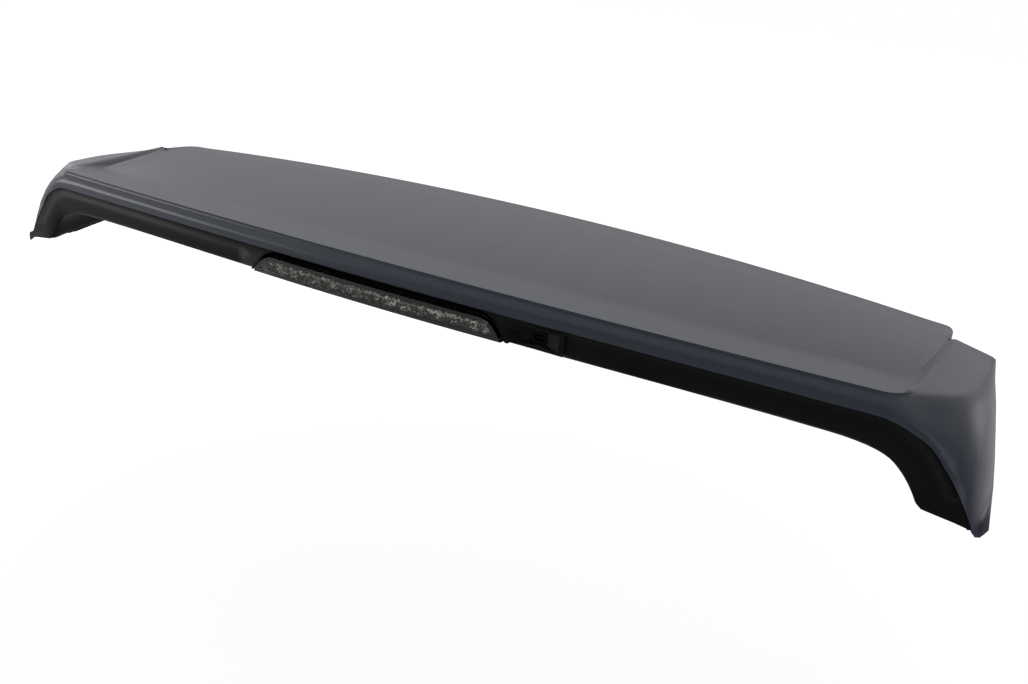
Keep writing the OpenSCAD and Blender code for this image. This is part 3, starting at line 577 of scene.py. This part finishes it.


# paper that takes light and shadow, and glows on top of that: the glow alone is set
# # lower near the object, a painted shadow that makes part of the faint grey seen there
def whiteFloor():
    clearSelection()
    bpy.ops.mesh.primitive_plane_add(size=studio["floorSize"],
                                     location=(0, 0, -studio["floorDrop"]))
    floor = bpy.context.view_layer.objects.active
    floor.name = "floor"
    material, tree, _ = newMaterial("paperWhite")
    tree.nodes.clear()
    link = tree.links.new
    near, far = studio["paintedShadowReach"]
    glowInPaintedShadow, glowFar = studio["paperGlowAndPaintedShadow"]
    out = addNode(tree, "ShaderNodeOutputMaterial")
    diffuse = addNode(tree, "ShaderNodeBsdfDiffuse", {"Color": solid(studio["floorShade"])})
    glow = addNode(tree, "ShaderNodeEmission")
    rays, seen = seenMask(tree)
    level = addMath(tree, "MULTIPLY", {1: studio["floorGlow"]})
    paper = addMath(tree, "MULTIPLY_ADD")
    coord = addNode(tree, "ShaderNodeTexCoord")
    away = addNode(tree, "ShaderNodeVectorMath", operation="LENGTH")
    # the glow is lower near the object than far from it: a painted shadow
    rise = addNode(tree, "ShaderNodeMapRange", {
        "From Min": near, "From Max": far, "To Min": glowInPaintedShadow, "To Max": glowFar})
    add = addNode(tree, "ShaderNodeAddShader")
    link(seen, level.inputs[0])
    link(coord.outputs["Object"], away.inputs[0])
    link(away.outputs["Value"], rise.inputs["Value"])
    link(rays.outputs["Is Camera Ray"], paper.inputs[0])
    link(rise.outputs["Result"], paper.inputs[1])
    link(level.outputs[0], paper.inputs[2])
    link(paper.outputs[0], glow.inputs["Strength"])
    link(diffuse.outputs[0], add.inputs[0])
    link(glow.outputs[0], add.inputs[1])
    link(add.outputs[0], out.inputs["Surface"])
    floor.data.materials.append(material)


# white to the camera, and to a gloss dim at the horizon and bright overhead
def paleWorld():
    world = bpy.data.worlds.new("paleStudio")
    bpy.context.scene.world = world
    world.use_nodes = True
    tree = world.node_tree
    tree.nodes.clear()
    link = tree.links.new
    low, high = studio["skyHeights"]
    out = addNode(tree, "ShaderNodeOutputWorld")
    even = addNode(tree, "ShaderNodeBackground", {
        "Color": solid(studio["skyTint"]), "Strength": studio["skyShade"]})
    seenSky = addNode(tree, "ShaderNodeBackground", {"Color": (1, 1, 1, 1)})
    coord = addNode(tree, "ShaderNodeTexCoord")
    height = addNode(tree, "ShaderNodeSeparateXYZ")
    fade = addNode(tree, "ShaderNodeMapRange", {
        "From Min": low, "From Max": high,
        "To Min": studio["skyEdge"], "To Max": studio["skyTop"]},
        interpolation_type="SMOOTHSTEP")
    rays, seen = seenMask(tree)
    whole = addMath(tree, "MAXIMUM")
    mix = addNode(tree, "ShaderNodeMixShader")
    link(coord.outputs["Generated"], height.inputs["Vector"])
    link(height.outputs["Z"], fade.inputs["Value"])
    link(fade.outputs["Result"], whole.inputs[0])
    link(rays.outputs["Is Camera Ray"], whole.inputs[1])
    link(whole.outputs[0], seenSky.inputs["Strength"])
    link(seen, mix.inputs[0])
    link(even.outputs[0], mix.inputs[1])
    link(seenSky.outputs[0], mix.inputs[2])
    link(mix.outputs[0], out.inputs["Surface"])


def placeLamp(light, place, direction):
    lamp = bpy.data.objects.new(light.name, light)
    bpy.context.scene.collection.objects.link(lamp)
    lamp.location = place
    lamp.rotation_euler = direction.to_track_quat("-Z", "Y").to_euler()


def softLamp(name, place, aim, size, power):
    light = bpy.data.lights.new(name, "AREA")
    light.shape = "RECTANGLE"
    light.size, light.size_y = size
    light.energy = power
    placeLamp(light, place, mathutils.Vector(aim) - mathutils.Vector(place))


def softSun(name, place, strength, angle):
    light = bpy.data.lights.new(name, "SUN")
    light.energy = strength
    light.angle = math.radians(angle)
    placeLamp(light, place, -mathutils.Vector(place))


whiteFloor()
paleWorld()
softSun("overhead", studio["keyPlace"], studio["keyStrength"], studio["keyAngle"])
for name, (place, aim, size, power) in softLamps.items():
    softLamp(name, place, aim, size, power)
print("stage set")

view = {
    "place": (0.7569, -1.1955, 0.3926),
    "azimuth": 29.37,
    "elevation": 18.38,
    "roll": 6.24,
    "focalPixels": 1213.26,
    "imageWidth": 1028,
    "sensorMm": 36.0,
    "nearest": 0.01,
}


def setCamera():
    data = bpy.data.cameras.new("photoCamera")
    data.sensor_width = view["sensorMm"]
    data.lens = view["focalPixels"] / view["imageWidth"] * data.sensor_width
    data.clip_start = view["nearest"]
    camera = bpy.data.objects.new("photoCamera", data)
    bpy.context.scene.collection.objects.link(camera)
    turn, rise, roll = (math.radians(view[k]) for k in ("azimuth", "elevation", "roll"))
    level = math.cos(rise)
    back = mathutils.Vector((math.sin(turn) * level, -math.cos(turn) * level, math.sin(rise)))
    side = mathutils.Vector((math.cos(turn), math.sin(turn), 0))
    top = back.cross(side)
    right = side * math.cos(roll) + top * math.sin(roll)
    up = top * math.cos(roll) - side * math.sin(roll)
    place = view["place"]
    camera.matrix_world = mathutils.Matrix((
        (right.x, up.x, back.x, place[0]),
        (right.y, up.y, back.y, place[1]),
        (right.z, up.z, back.z, place[2]),
        (0, 0, 0, 1)))
    bpy.context.scene.camera = camera


setCamera()
bpy.context.scene.view_settings.view_transform = "Standard"
print("camera set")
